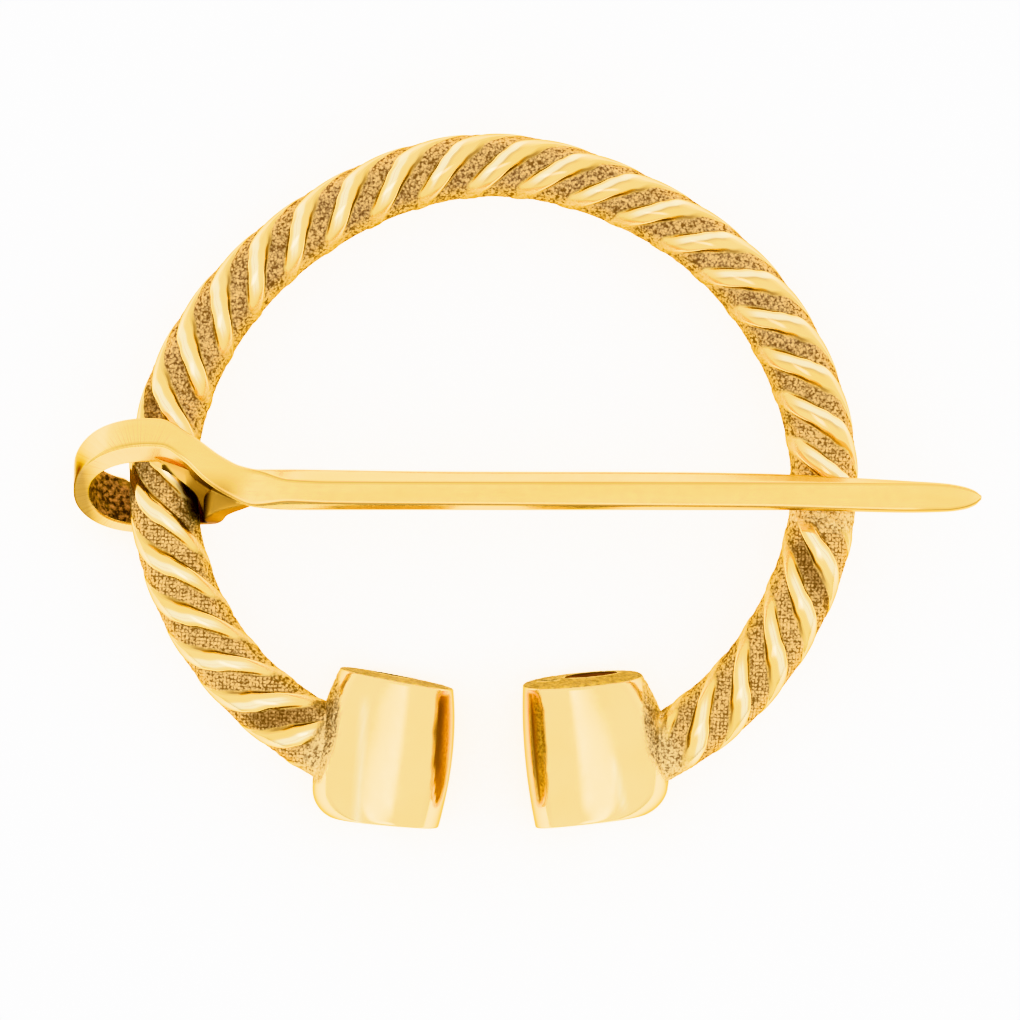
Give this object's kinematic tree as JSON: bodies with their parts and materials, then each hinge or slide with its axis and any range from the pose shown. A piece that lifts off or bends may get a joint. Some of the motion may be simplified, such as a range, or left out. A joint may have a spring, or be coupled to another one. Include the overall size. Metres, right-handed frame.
{
  "type": "penannular ring brooch",
  "caption": "Open ring brooch of twisted ribbed stock with rolled barrel terminals and a loose pin that swings on the ring and lies across its front.",
  "frame": {"origin": "on the surface it lies on, below the middle of the whole brooch's box", "axes": "+X along the pin towards its point, +Y away from the terminals across the ring, +Z out of the front face, up when it lies on its back"},
  "size_m": [0.056, 0.043, 0.0094],
  "materials": {
    "ring_metal": "polished ribs and terminals, granular brown-patinated ground between the ribs",
    "pin_metal": "satin polished, rough and dark inside the loop"
  },
  "bodies": {
    "ring": {"ring": "ring_metal"},
    "pin": {"pin": "pin_metal"}
  },
  "joints": [
    {"name": "pin_swing", "type": "hinge", "parent": "ring", "child": "pin", "pos_m": [-0.02246, 0.00007, 0.00432], "axis": [0, -1, 0], "range_deg": [0, 350]}
  ]
}
